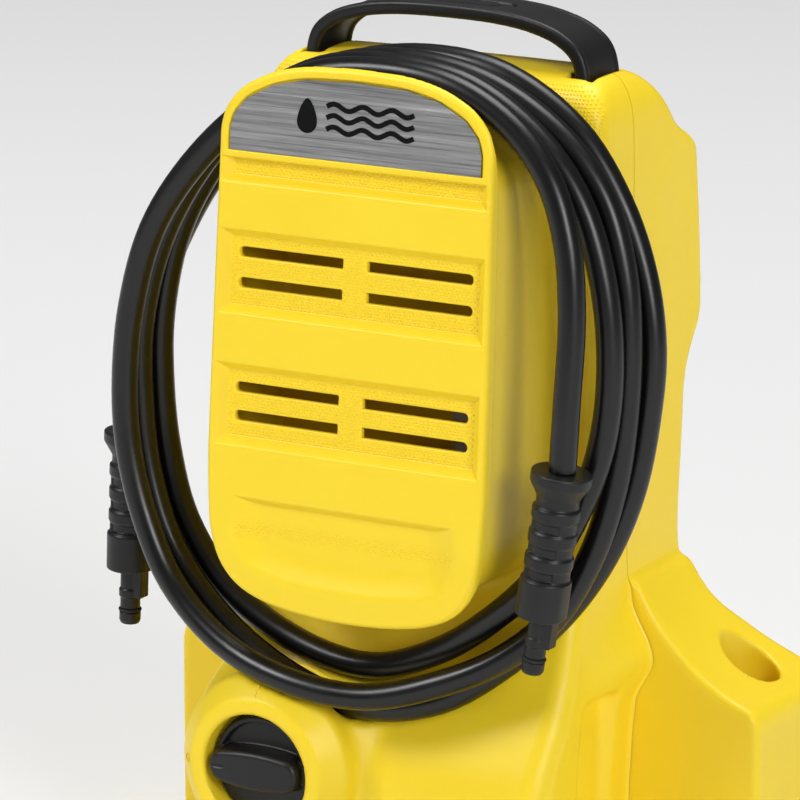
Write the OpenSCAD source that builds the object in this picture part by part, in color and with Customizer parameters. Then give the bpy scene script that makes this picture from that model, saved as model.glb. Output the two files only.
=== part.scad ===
// Compact electric pressure washer, upright housing with a hose wound on a front holder.
// Axes: X to the right, -Y to the front, Z up. Floor at z = 0. Millimetres.

/* [View] */
// Which piece to draw, or all of them

/* [Housing] */
// Wall thickness of the moulded shells
wall = 2.5; // [2:0.1:4]
// Y of the seam between the two shells
seam_y = 9; // [5:0.5:15]
// Half width of the base wings
wing_half = 140; // [120:1:150]
// Radius of the open lance sockets in the wings
socket_r = 12.5; // [8:0.5:16]

/* [Hose holder] */
// Lean of the cover face from vertical, degrees
lean = 4.07; // [0:0.01:8]
// Depth of the textured strips below the bands
strip_depth = 4; // [2:0.5:5]
// Height of each vent slot
slot_h = 4.2; // [2:0.1:6]

/* [Switch] */
// Knob centre, X
knob_x = -43; // [-60:1:-30]
// Knob centre, Z
knob_z = 78.5; // [60:0.5:95]
// Knob radius
knob_r = 23.6; // [18:0.1:24]
// Rise of the cam over a quarter turn
cam_rise = 3; // [1:0.5:4]

/* [Motor and gear] */
// Motor axis, X
motor_x = -8; // [-20:1:0]
// Depth of the motor and pump axes, Y
drive_y = 20; // [15:1:25]
// Outer radius of the stator
stator_r = 34.5; // [30:0.5:35]
// Gear module
gear_m = 1.5; // [1:0.25:2]
// Pinion teeth
pinion_t = 12; // [10:1:16]
// Drive gear teeth
gear_t = 36; // [30:1:40]

/* [Pump] */
// Piston radius
piston_r = 6; // [5:0.5:8]
// Radius of the circle the pistons stand on
piston_ring = 17; // [14:0.5:19]
// Tilt of the swash face, degrees
swash_tilt = 8; // [4:0.5:10]

/* [Water fittings] */
// Thread radius of the garden hose inlet, G3/4
inlet_r = 13.2; // [13:0.05:13.3]
// Bore radius of the pressure outlet
outlet_bore = 5; // [4.5:0.1:7]
// Height of both fittings
fit_z = 36; // [30:1:45]
// Inlet X
inlet_x = 58; // [50:1:62]
// Outlet X
outlet_x = 20; // [12:1:26]

/* [Hose] */
// Outside diameter of the hose
hose_d = 11.2; // [10:0.1:12]
// Sides of the swept tube
hose_sides = 10; // [8:1:12]

/* [Hidden] */
$fn = 48;
yellow = [0.95,0.80,0.10];
black = [0.09,0.09,0.10];
steel = [0.62,0.63,0.65];
copper = [0.72,0.40,0.20];
alu = [0.78,0.79,0.80];
pump_x = motor_x + gear_m*(pinion_t+gear_t)/2;

// side profile of the housing, [y, z]
side_pts = [[-72,7],[-75,12],[-74,40],[-68,82],[-57,105],[-46,124],[-38,150],[-22,166],[-19,176],[-19,352],[-15,362],[-7,368],[6,370],[12,370],[21,368],[30,363],[37.5,357],[44,350],[51,341],[57,337],[65,333],[70,329],[75,291],[77.5,264],[77,252],[70,242],[65.5,234],[63.5,226],[62.5,200],[61,182],[60.5,165],[61.5,146],[64.5,137],[71.5,128],[81,118],[86,106],[88,90],[88,14],[82,7]];
// front profile of the housing, [x, z], right half
half_pts = [[0,7],[80,7],[84,13],[82,40],[80,60],[81.5,92],[83,106],[85,128],[80.5,142],[78.5,162],[80,319],[79.5,345],[78,355],[75,362],[70,366.5],[60,368.5],[40,369.5],[0,370]];
// wing profile, [x, z], right half
wing_pts = [[60,7],[136,7],[wing_half,14],[wing_half,98],[137,105],[126,109],[111,118],[97,132],[87,146],[60,146]];
wing_side = [[0,7],[80,7],[88,14],[88,90],[85,108],[76,122],[64,136],[60,147],[0,147]];
// outline of the hose holder cover, [x, z], centred on x = 0
cover_half = [[0,148.4],[20,149.4],[38,152.4],[51,158],[59.5,168],[63.2,182],[64.8,208],[64.4,250],[63.6,300],[63,338],[63,347],[60.5,355],[53.5,363],[40,370],[24,373.6],[0,374.5]];
lip_half = [[0,156],[20,157],[36,159.5],[48,164],[56.5,172],[61,184],[62.6,208],[62.2,250],[61.4,300],[61,331],[58.5,338.5],[52,345.5],[43,351.5],[31.5,356.5],[18,360.5],[0,362]];

function rev(p) = [for(i=[len(p)-1:-1:0]) p[i]];
function mirror_x(p) = concat(p, [for(i=[len(p)-1:-1:0]) if (p[i][0]>0.01) [-p[i][0],p[i][1]]]);
// move every edge of a counter-clockwise outline inwards by d
function unit(v) = v/norm(v);
function nrm(a,b) = let(e=unit(b-a)) [-e[1],e[0]];
function inset(p,d) = let(n=len(p)) [for(i=[0:n-1]) let(a=p[(i+n-1)%n],b=p[i],c=p[(i+1)%n],n1=nrm(a,b),n2=nrm(b,c),m=unit(n1+n2)) b + m*d/max(0.5,m*n1)];

module along_x(p,x0,x1) translate([x0,0,0]) rotate([90,0,90]) linear_extrude(x1-x0) polygon(p);
module along_y(p,y0,y1) translate([0,y1,0]) rotate([90,0,0]) linear_extrude(y1-y0) polygon(p);
module cyl_y(x,z,y0,y1,r,r2=-1) translate([x,y1,z]) rotate([90,0,0]) cylinder(h=y1-y0,r1=(r2<0?r:r2),r2=r);
module cyl_z(x,y,z0,z1,r,r2=-1) translate([x,y,z0]) cylinder(h=z1-z0,r1=r,r2=(r2<0?r:r2));
module ring_z(x,y,z0,z1,ro,ri) difference(){ cyl_z(x,y,z0,z1,ro); cyl_z(x,y,z0-1,z1+1,ri); }
module block(a,b) translate(a) cube(b-a);

// swept tube through route points, tangents lying near the XZ plane
function tan_at(p,i) = unit(p[min(i+1,len(p)-1)]-p[max(i-1,0)]);
function ring_pt(c,t,r,a) = let(n=unit([0,1,0]-t*t[1]), b=cross(t,n)) c + r*(cos(a)*n+sin(a)*b);
module sweep(p,r,s) {
  n=len(p);
  pts=[for(i=[0:n-1],j=[0:s-1]) ring_pt(p[i],tan_at(p,i),r,360*j/s)];
  side=[for(i=[0:n-2],j=[0:s-1]) each let(a=i*s+j,b=i*s+(j+1)%s,c=a+s,d=b+s) [[a,b,d],[a,d,c]]];
  polyhedron(points=pts,faces=concat([[for(j=[s-1:-1:0]) j]],side,[[for(j=[0:s-1]) (n-1)*s+j]]),convexity=12);
}
// helical spring along Z
module spring_z(r,w,h,turns,steps=9,s=6) {
  n=turns*steps+1;
  c=[for(i=[0:n-1]) [r*cos(360*i/steps), r*sin(360*i/steps), w+(h-2*w)*i/(n-1)]];
  pts=[for(i=[0:n-1],j=[0:s-1]) let(a=360*i/steps,q=360*j/s) c[i]+w*[cos(q)*cos(a),cos(q)*sin(a),sin(q)]];
  side=[for(i=[0:n-2],j=[0:s-1]) each let(a=i*s+j,b=i*s+(j+1)%s,e=a+s,d=b+s) [[a,e,d],[a,d,b]]];
  polyhedron(points=pts,faces=concat([[for(j=[0:s-1]) j]],side,[[for(j=[s-1:-1:0]) (n-1)*s+j]]),convexity=8);
}
// spur gear outline with slim straight-flank teeth
module gear2d(t,m,ph=0) {
  rp=m*t/2; p=360/t;
  polygon([for(i=[0:t-1]) each [for(k=[[rp-m*1.15,-0.29],[rp,-0.21],[rp+m*0.75,-0.10],[rp+m*0.75,0.10],[rp,0.21],[rp-m*1.15,0.29]]) let(a=ph+p*(i+k[1])) k[0]*[cos(a),sin(a)]]]);
}
module body_solid(d) intersection(){
  along_x(inset(rev(side_pts),d),-90,90);
  along_y(inset(mirror_x(half_pts),d),-100,100);
}
module wing_solid(d) intersection(){
  union(){ along_y(inset(wing_pts,d),seam_y+d,100); mirror([1,0,0]) along_y(inset(wing_pts,d),seam_y+d,100); }
  along_x(inset(wing_side,d),-145,145);
}
// screw positions, [x, z, y of the head seat]
screws = [[-66,22,86.6],[66,22,86.6],[-120,26,86.6],[120,26,86.6],[-62,215,61.5],[62,215,61.5]];
pod_pts = [[-50,8],[-78,8],[-80,14],[-82,50],[-82,92],[-79,106],[-66,110],[-50,108]];
knob_pocket = 24.6;

module behind_cover(t) translate([0,-79.6,337]) rotate([-lean,0,0]) block([-80,t,-220],[80,90,60]);
module front_shell() color(yellow) difference(){
  union(){
    difference(){
      union(){
        intersection(){ body_solid(0); block([-100,-100,0],[100,seam_y,400]); }
        intersection(){ along_y(mirror_x(lip_half),-92,-17); behind_cover(7); }
        along_x(rev(pod_pts),-82,-4);
        cyl_y(knob_x,knob_z,-88.5,-80,30,35);
      }
      intersection(){ body_solid(wall); block([-100,-100,0],[100,seam_y+1,400]); }
      along_y(inset(mirror_x(lip_half),wall),-93,-14);
      along_x(inset(rev(pod_pts),wall),-79.5,-6.5);
    }
    // floor of the trough in which the lowest turn of the hose lies
    intersection(){ along_x(rev(pod_pts),-82,-4); sweep([for(i=[62:65]) route[i]],8.8,hose_sides); }
    cyl_y(knob_x,knob_z,-88,-73,27);
    cyl_y(knob_x,knob_z,-74,-62,8);
    block([-31,-81,72],[-22,-60.2,85]);
    block([37,-60,205],[60,-45,212]);
    cyl_z(40,-45,205,212,14.5);
  }
  sweep([for(i=[62:65]) route[i]],6.3,hose_sides);
  cyl_y(knob_x,knob_z,-90,-75.5,knob_pocket);
  cyl_y(knob_x,knob_z,-80,-60,4.06);
  cyl_z(40,-45,200,216,12);
  cyl_y(inlet_x,fit_z,-95,-60,16.5);
  cyl_y(outlet_x,fit_z,-95,-60,12.5);
  cyl_y(outlet_x,fit_z+19,-95,-60,8.2);
  // seats for the handle feet
  for(s=[-1,1]) block([s*63-5.2,-6.3,356],[s*63+5.2,seam_y+1,372]);
}
module rear_shell() color(yellow) difference(){
  union(){
    difference(){
      union(){
        intersection(){ body_solid(0); block([-100,seam_y,0],[100,100,400]); }
        wing_solid(0);
      }
      intersection(){ body_solid(wall); block([-100,seam_y-1,0],[100,100,400]); }
      wing_solid(wall);
      block([-79,seam_y+2.5,12],[79,62,130]);
    }
    for(s=[-1,1]) intersection(){ wing_solid(0); cyl_z(s*116,50,30,130,socket_r+2.5); }
    cyl_y(-30,60,76,86,9);
  }
  for(s=[-1,1]) cyl_z(s*116,50,32.5,140,socket_r);
  cyl_y(-30,60,70,90,6);
  for(s=[-1,1]) block([s*63-5.2,seam_y-1,356],[s*63+5.2,22.9,373]);
  // rear air outlet slots
  for(i=[0:5]) block([-40,55,262+i*9],[40,82,266+i*9]);
  // screw seats
  for(p=screws) { cyl_y(p[0],p[1],p[2],95,3.6); cyl_y(p[0],p[1],p[2]-8,95,2); }
}
module hose_holder_cover() color(yellow) difference(){
  intersection(){
    along_y(mirror_x(cover_half),-91,-60);
    translate([0,-79.6,337]) rotate([-lean,0,0]) block([-80,0,-220],[80,7,60]);
    block([-80,-91,0],[80,-60,400]);
  }
  translate([0,-79.6,337]) rotate([-lean,0,0]) {
    // seat of the metal plate
    intersection(){ translate([0,0,-337]) along_y(inset(mirror_x(cover_half),5),-1,1.6); block([-70,-1,0],[70,3,60]); }
    // thin lip above the bay, in front of the hose
    difference(){ block([-80,2.7,-10],[80,12,60]); translate([0,0,-337]) along_y(mirror_x(lip_half),-30,60); }
    // textured strips between the raised bands
    for(z=[[-9.5,-4],[-63,-35],[-117,-90]]) block([-57.5,-1,z[0]],[57.5,strip_depth,z[1]]);
    // vent slots
    for(z=[-41.4,-54,-97,-108.8], s=[-1,1]) block([s>0?5:-53,-1,z-slot_h/2],[s>0?53:-5,12,z+slot_h/2]);
    // hollow behind the lower face
    block([-52,3.2,-172],[52,12,-120]);
  }
}
module trim_plate() color(alu) translate([0,-79.6,337]) rotate([-lean,0,0]) intersection(){
  translate([0,0,-337]) along_y(inset(mirror_x(cover_half),5.3),0.3,1.5); block([-70,-1,0.3],[70,3,60]);
}
module strap_profile(o) {
  a=[for(i=[0:16]) let(t=180*i/16) [-(66-o)*cos(t)*1.0, 0]];
  top=[[-66+o,358],[-66+o,366],[-62.5+o*0.9,375.5-o*0.35],[-54+o*0.7,382.3-o*0.7],[-42+o*0.4,386.6-o*0.95],[-26,389-o],[0,390-o],[26,389-o],[42-o*0.4,386.6-o*0.95],[54-o*0.7,382.3-o*0.7],[62.5-o*0.9,375.5-o*0.35],[66-o,366],[66-o,358]];
  polygon(top);
}
module carry_handle() color(black) difference(){
  translate([0,22.6,0]) rotate([90,0,0]) linear_extrude(28.6) difference(){ strap_profile(0); translate([0,-0.5]) strap_profile(5); }
  translate([0,8.3,388.3]) { block([-17,-5.5,0],[17,5.5,3]); for(s=[-1,1]) translate([s*17,0,0]) cylinder(h=3,r=5.5); }
}
module handle_grip_inlay() color([0.14,0.14,0.15]) translate([0,8.3,388.3]) difference(){
  union(){ block([-16.8,-5.2,0],[16.8,5.2,1]); for(s=[-1,1]) translate([s*16.8,0,0]) cylinder(h=1,r=5.2); }
  for(y=[-3.4,-1.2,1.2,3.4]) block([-19,y-0.45,0.5],[19,y+0.45,2]);
}
module housing_screws() color(steel) for(p=screws) {
  cyl_y(p[0],p[1],p[2],p[2]+1.3,3.5);
  cyl_y(p[0],p[1],p[2]-16,p[2],1.9);
}
module feet() color(black) for(p=[[-118,70],[118,70],[-62,-58],[62,-58]]) difference(){
  cyl_z(p[0],p[1],0,7,11,12.5);
  cyl_z(p[0],p[1],-1,2.5,4);
}
module cable_gland() color(black) difference(){
  union(){ cyl_y(-30,60,72,91,5.95); cyl_y(-30,60,88.1,91,8); cyl_y(-30,60,72,75.9,8.5); }
  cyl_y(-30,60,60,95,3.6);
}
module switch_knob() color(black) difference(){
  union(){
    cyl_y(knob_x,knob_z,-80.5,-76.7,knob_r);
    difference(){ cyl_y(knob_x,knob_z,-84,-80,knob_r); cyl_y(knob_x,knob_z,-90,-79,knob_r-3); block([knob_x-30,-90,40],[knob_x+30,-79,knob_z+2]); }
    block([knob_x-22,-89.5,knob_z-5.5],[knob_x+16,-80,knob_z+5.5]);
  }
  cyl_y(knob_x,knob_z,-79,-70,4);
}
module knob_seal() color([0.12,0.12,0.12]) difference(){
  cyl_y(knob_x,knob_z,-76.3,-75.5,9);
  cyl_y(knob_x,knob_z,-78,-74,4.4);
}
// face cam: radius grows by cam_rise from +X round to +Z
module switch_cam_shaft() color(alu) {
  cyl_y(knob_x,knob_z,-79,-46,4);
  translate([knob_x,-49,knob_z]) rotate([90,0,0]) linear_extrude(9)
    polygon(concat([for(a=[-24:6:114]) let(r=6.2+cam_rise*a/90) r*[cos(a),sin(a)]],[for(a=[132:12:324]) 5.2*[cos(a),sin(a)]]));
}
module microswitch() color([0.75,0.75,0.72]) difference(){
  block([knob_x+13,-60,knob_z-8],[knob_x+37,-48,knob_z+8]);
  translate([knob_x+12,-53.5,knob_z]) rotate([0,90,0]) cylinder(h=16,r=2.5);
  block([knob_x+30,-61,knob_z-9],[knob_x+32,-47,knob_z-6]);
}
module switch_plunger() color([0.7,0.2,0.15]) translate([knob_x+6.5,-53.5,knob_z]) {
  translate([1.5,0,0]) rotate([0,90,0]) cylinder(h=12.5,r=2.44);
  translate([0,0,0]) rotate([0,90,0]) cylinder(h=1.5,r1=0.6,r2=2.44);
}
module stator_core() color([0.42,0.42,0.45]) difference(){
  cyl_z(motor_x,drive_y,212,262,stator_r);
  cyl_z(motor_x,drive_y,211,263,21.6);
  for(a=[45:90:315]) translate([motor_x,drive_y,211]) rotate([0,0,a]) translate([24.5,-6,0]) cube([5.5,12,60]);
}
module stator_windings() color(copper) {
  for(z=[[203,212],[262,271]]) difference(){ cyl_z(motor_x,drive_y,z[0],z[1],30.5); cyl_z(motor_x,drive_y,z[0]-1,z[1]+1,22.5); for(a=[0:90:270]) translate([motor_x,drive_y,z[0]-1]) rotate([0,0,a]) translate([22,-5,0]) cube([10,10,20]); }
  for(a=[45:90:315]) translate([motor_x,drive_y,211.5]) rotate([0,0,a]) translate([25,-5.5,0]) cube([4.5,11,51]);
}
module motor_top_bracket() color(black) difference(){
  union(){
    cyl_z(motor_x,drive_y,288,299,24);
    for(a=[45:90:315]) translate([motor_x,drive_y,0]) rotate([0,0,a]) { translate([10,-6,288]) cube([24.4,12,6]); translate([31.2,-6,262]) cube([3,12,30]); }
  }
  cyl_z(motor_x,drive_y,287,296,11);
  cyl_z(motor_x,drive_y,290,300,6);
}
module motor_fan_cowl() color(black) difference(){
  cyl_z(motor_x,drive_y,182,212,stator_r);
  cyl_z(motor_x,drive_y,181,213,31.6);
  for(a=[0:30:330]) translate([motor_x,drive_y,186]) rotate([0,0,a]) translate([28,-4,0]) cube([10,8,14]);
}
module upper_bearing() color(steel) ring_z(motor_x,drive_y,289,296,11,4.05);
module lower_bearing() color(steel) ring_z(motor_x,drive_y,176,183,11,4.05);
module motor_shaft() color(steel) cyl_z(motor_x,drive_y,160,298,4);
module armature_core() color([0.45,0.45,0.48]) difference(){
  cyl_z(motor_x,drive_y,212,262,21);
  cyl_z(motor_x,drive_y,211,263,4);
  for(a=[0:30:330]) translate([motor_x,drive_y,211]) rotate([0,0,a]) translate([15,-1.5,0]) cube([8,3,60]);
}
module armature_windings() color(copper) {
  for(z=[[203,212],[262,271]]) difference(){ cyl_z(motor_x,drive_y,z[0],z[1],z[0]<210?16:18,z[0]<210?18:14); cyl_z(motor_x,drive_y,z[0]-1,z[1]+1,4); }
  for(a=[0:30:330]) translate([motor_x,drive_y,211.5]) rotate([0,0,a]) translate([15.3,-1.2,0]) cube([4.5,2.4,51]);
}
module commutator() color(copper) difference(){
  cyl_z(motor_x,drive_y,273,287,13);
  cyl_z(motor_x,drive_y,272,288,4);
  for(a=[0:18:342]) translate([motor_x,drive_y,274]) rotate([0,0,a]) translate([12.4,-0.3,0]) cube([2,0.6,20]);
}
module cooling_fan() color([0.2,0.2,0.22]) difference(){
  union(){
    cyl_z(motor_x,drive_y,188,200,9);
    cyl_z(motor_x,drive_y,188,190,29);
    for(a=[0:36:324]) translate([motor_x,drive_y,189]) rotate([0,0,a]) rotate([0,0,0]) translate([8,-0.8,0]) cube([21,1.6,10]);
  }
  cyl_z(motor_x,drive_y,187,201,4);
}
module motor_pinion() color(steel) difference(){
  translate([motor_x,drive_y,164]) linear_extrude(10) gear2d(pinion_t,gear_m,0);
  cyl_z(motor_x,drive_y,160,180,4);
}
module brush_holders() color([0.75,0.62,0.25]) for(s=[0,180]) translate([motor_x,drive_y,0]) rotate([0,0,s]) difference(){
  translate([15,-5.5,275]) cube([15,11,13]);
  translate([14,-3.7,276.5]) cube([17,7.4,9]);
}
module carbon_brushes() color([0.15,0.15,0.16]) difference(){
  for(s=[0,180]) translate([motor_x,drive_y,0]) rotate([0,0,s]) translate([11,-3.6,276.6]) cube([13,7.2,8.8]);
  cyl_z(motor_x,drive_y,270,290,13.08);
}
module brush_springs() color(steel) for(s=[0,180]) translate([motor_x,drive_y,281]) rotate([0,0,s]) translate([24,0,0]) rotate([0,90,0]) spring_z(2.6,0.5,6,4);
module capacitor() color([0.85,0.85,0.83]) { cyl_z(40,-45,190,240,11.95); for(x=[36,44]) block([x-0.4,-47,240],[x+0.4,-43,248]); }
module gear_case2d(r1,r2) { translate([pump_x,drive_y]) circle(r1); translate([motor_x,drive_y]) circle(r2); }
module gear_housing() color(alu) difference(){
  union(){
    cyl_z(pump_x,drive_y,130,182,38);
    cyl_z(motor_x,drive_y,156,182,22);
    cyl_z(motor_x,drive_y,176,182,stator_r);
    for(y=[drive_y-22,drive_y+19]) block([motor_x,y,156],[pump_x,y+3,182]);
  }
  cyl_z(pump_x,drive_y,129,176,34);
  cyl_z(motor_x,drive_y,159,176,12);
  cyl_z(motor_x,drive_y,175,184,11);
  cyl_z(pump_x,drive_y,170,184,9);
}
module drive_gear() color([0.9,0.88,0.8]) difference(){
  translate([pump_x,drive_y,165]) linear_extrude(8) gear2d(gear_t,gear_m,5);
  cyl_z(pump_x,drive_y,160,180,8);
}
module swash_plate() color(steel) difference(){
  union(){ cyl_z(pump_x,drive_y,146,161,26); cyl_z(pump_x,drive_y,160,175.5,8); cyl_z(pump_x,drive_y,175,181.6,5.95); }
  translate([pump_x,drive_y,152]) rotate([0,swash_tilt,0]) translate([-50,-50,-30]) cube([100,100,30]);
}
module swash_bearing() color([0.7,0.55,0.3]) ring_z(pump_x,drive_y,176,182,9,6);
module at_pistons() for(a=[90:120:330]) translate([pump_x+piston_ring*cos(a),drive_y+piston_ring*sin(a),0]) children();
module cylinder_block() color(alu) difference(){
  union(){ cyl_z(pump_x,drive_y,92,130,30); cyl_z(pump_x,drive_y,122,130,38); }
  at_pistons() { cyl_z(0,0,90,131,piston_r+0.05); cyl_z(0,0,122,131,9); }
  for(a=[30:60:330]) translate([pump_x+34*cos(a),drive_y+34*sin(a),0]) cyl_z(0,0,120,131,2.1);
}
module pistons() color(steel) at_pistons() { cyl_z(0,0,94,146,piston_r-0.02); cyl_z(0,0,145,147.8,8.5); }
module piston_springs() color([0.5,0.5,0.53]) at_pistons() translate([0,0,127]) spring_z(7.4,0.8,18,4);
module piston_seals() color(black) at_pistons() ring_z(0,0,122,127,9,piston_r);
module pump_head() color(alu) difference(){
  union(){
    cyl_z(pump_x,drive_y,60,92,32);
    block([-24,-32,22],[73,44,61]);
    for(p=[[-21,23],[-6,41]]) cyl_z(p[0],p[1],60,82,2.5);
    for(p=[[-16,-24],[65,-24],[-16,36],[65,36]]) cyl_z(p[0],p[1],9.5,23,5);
  }
  at_pistons() cyl_z(0,0,78,93,7);
  cyl_z(pump_x,drive_y,66,93,7);
  cyl_y(inlet_x,fit_z,-33,0,9);
  cyl_y(outlet_x,fit_z,-33,0,8);
  cyl_z(-12,30,44,62,3.05);
}
module inlet_valves() color([0.85,0.85,0.8]) at_pistons() { cyl_z(0,0,78,80,6.9); cyl_z(0,0,80,86,2.5); cyl_z(0,0,84.5,86,5); }
module outlet_valve() color(steel) { cyl_z(pump_x,drive_y,66,70,6.9); cyl_z(pump_x,drive_y,70,84,3); cyl_z(pump_x,drive_y,84,86,5.5); }
module pump_bolts() color(steel) for(a=[30:60:330]) translate([pump_x+34*cos(a),drive_y+34*sin(a),0]) { cyl_z(0,0,118,122,3.6); cyl_z(0,0,122,129.8,2); }
module pressure_rod() color(steel) { cyl_z(-12,30,46,79,3); cyl_z(-12,30,66,67.5,5.6); }
module pressure_rod_spring() color([0.55,0.55,0.58]) translate([-12,30,67.6]) spring_z(4.6,0.55,14.3,6);
module pressure_switch() color([0.2,0.2,0.22]) difference(){
  block([-24.5,20,82],[-4.6,44,104]);
  cyl_z(-12,30,81,90,3.6);
}
module water_inlet() color(black) difference(){
  union(){ cyl_y(inlet_x,fit_z,-90,-62,inlet_r-1.1); for(i=[0:5]) cyl_y(inlet_x,fit_z,-89+i*3.2,-87.4+i*3.2,inlet_r); cyl_y(inlet_x,fit_z,-66,-60,15.5); cyl_y(inlet_x,fit_z,-61,-22,8.95); }
  cyl_y(inlet_x,fit_z,-91,-62,9.2);
  cyl_y(inlet_x,fit_z,-60,-20,6);
  // groove of the sealing ring
  translate([inlet_x,-25.9,fit_z]) rotate([90,0,0]) difference(){ cylinder(h=2.2,r=10); translate([0,0,-1]) cylinder(h=5,r=7.5); }
}
module inlet_filter() color([0.6,0.65,0.7]) translate([0,-7.2,0]) difference(){
  union(){ cyl_y(inlet_x,fit_z,-78,-55,5,7.5); cyl_y(inlet_x,fit_z,-57,-55,9.1); }
  cyl_y(inlet_x,fit_z,-76,-54,3.8,6);
}
module inlet_oring() color(black) translate([inlet_x,-26,fit_z]) rotate([90,0,0]) difference(){ cylinder(h=2,r=8.97); translate([0,0,-1]) cylinder(h=4,r=7.55); }
module pressure_outlet() color(black) difference(){
  union(){ cyl_y(outlet_x,fit_z,-84,-60,11); cyl_y(outlet_x,fit_z,-61,-22,7.95); block([outlet_x-3.3,-76,fit_z+6],[outlet_x+3.3,-62,fit_z+14]); cyl_y(outlet_x,fit_z+19,-76,-56,7.6); }
  cyl_y(outlet_x,fit_z,-85,-58,outlet_bore);
  cyl_y(outlet_x,fit_z,-59,-20,3);
  cyl_y(outlet_x,fit_z+19,-77,-60,5.2);
}
module outlet_release_button() color([0.2,0.2,0.22]) cyl_y(outlet_x,fit_z+19,-82,-64,5.14);
route = [[96,-81,224],[97.5,-80.5,252],[98,-78,285],[94,-75,314],[84,-72,338],[66,-69.4,356.5],[40,-68.4,369.5],[8,-68.2,373.2],[-26,-68.4,368.5],[-56,-69,351],[-82,-70.2,326],[-101,-70.4,298],[-111.5,-70.5,265],[-115.3,-70.5,232],[-113.8,-71,206],[-106,-72,177],[-91,-74,149.5],[-64,-76.5,127.5],[-30,-77.5,116.5],[4,-77,115.5],[34,-74.5,124],[60,-68,136.5],[81,-60,155.5],[95,-54.2,182],[103.5,-51.3,211],[107.6,-50.4,240],[108.5,-49.6,268],[105.5,-48,296],[95,-46,326],[77,-45.4,347.5],[46,-45.2,366],[12,-45.2,372.8],[-24,-45.3,369.5],[-58,-45.8,352],[-85,-46.2,324.5],[-103,-46.8,293],[-111.5,-47,258],[-112.5,-47,230],[-109,-47.8,200],[-99,-49.2,169.5],[-76,-51.3,142.5],[-42,-52.8,125.5],[-6,-55.5,121.5],[28,-59.5,134],[55,-63,152.5],[77,-65.2,174],[94,-63.8,203],[103.5,-62.3,231],[106.6,-61.6,262],[102.5,-60,295],[91,-58,325.5],[73,-57,348],[42,-56.8,367.5],[8,-56.8,373],[-28,-56.9,369],[-61,-57.5,350],[-87,-58.4,321.5],[-105,-58.7,289.5],[-114.5,-58.7,254],[-115.3,-58.7,224],[-110.5,-59.6,190],[-98,-61,160],[-72,-63,132.5],[-38,-64.5,114],[-4,-64.4,106.5],[30,-61.5,113.5],[58,-55,132.5],[79,-47.5,154],[95,-42.5,179],[106,-40.2,207],[111.6,-38.6,238],[113.2,-37.6,266],[108,-35.4,294],[96,-34.2,323],[76,-33.8,350],[44,-33.8,369],[8,-33.8,373.5],[-30,-33.8,366.5],[-64,-33.8,346.5],[-92,-34,318],[-112,-34.6,285],[-126,-35.4,250],[-132.6,-36,222],[-134,-36,201]];
module hose() color(black) sweep(route,hose_d/2,hose_sides);
module grip_local() rotate([180,0,0]) difference(){ rotate_extrude() polygon([[0,0],[12.2,0],[12.2,4.5],[8.8,10.5],[8.8,14],[9.8,14.8],[9.8,19],[9,20],[9,24],[9.8,25],[9.8,29.5],[9,30.5],[9,34],[9.9,35],[9.9,39.5],[9.2,40.5],[9.2,44],[10.4,45.2],[10.4,61],[0,61]]); translate([0,0,57]) cylinder(h=5,r=5.6); }
module plug_local() rotate([180,0,0]) difference(){ union(){ rotate_extrude() polygon([[0,57],[5.6,57],[5.6,61],[4.3,61],[4.3,70],[4.9,70.6],[4.9,73],[4.3,74],[4.3,78.4],[3.7,78.4],[3.7,80.4],[4.6,80.4],[4.6,84],[4,85.5],[0,85.5]]); translate([2.5,-3.2,61.2]) cube([4.6,6.4,11.8]); } translate([0,0,60]) cylinder(h=30,r=2); }
module oring_local() rotate([180,0,0]) translate([0,0,78.5]) difference(){ cylinder(h=1.8,r=4.75); translate([0,0,-1]) cylinder(h=4,r=3.7); }
module at_front() translate([96,-81,224]) rotate([0,8.7,0]) translate([0,0,-0.35]) children();
module at_rear() translate([-134,-36,201]) rotate([0,2,0]) translate([0,0,-0.2]) children();
module hose_grip_front() color(black) at_front() grip_local();
module hose_plug_front() color(black) at_front() plug_local();
module hose_oring_front() color([0.2,0.2,0.2]) at_front() oring_local();
module hose_grip_rear() color(black) at_rear() grip_local();
module hose_plug_rear() color(black) at_rear() plug_local();
module hose_oring_rear() color([0.2,0.2,0.2]) at_rear() oring_local();

// ---- draw
front_shell();
rear_shell();
hose_holder_cover();
trim_plate();
carry_handle();
handle_grip_inlay();
housing_screws();
feet();
cable_gland();
switch_knob();
knob_seal();
switch_cam_shaft();
microswitch();
switch_plunger();
stator_core();
stator_windings();
motor_top_bracket();
motor_fan_cowl();
upper_bearing();
lower_bearing();
motor_shaft();
armature_core();
armature_windings();
commutator();
cooling_fan();
motor_pinion();
brush_holders();
carbon_brushes();
brush_springs();
capacitor();
gear_housing();
drive_gear();
swash_plate();
swash_bearing();
cylinder_block();
pistons();
piston_springs();
piston_seals();
pump_head();
inlet_valves();
outlet_valve();
pump_bolts();
pressure_rod();
pressure_rod_spring();
pressure_switch();
water_inlet();
inlet_filter();
inlet_oring();
pressure_outlet();
outlet_release_button();
hose();
hose_grip_front();
hose_plug_front();
hose_oring_front();
hose_grip_rear();
hose_plug_rear();
hose_oring_rear();
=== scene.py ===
import bpy, bmesh, math
import numpy as np
from mathutils import Vector, Matrix


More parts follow.
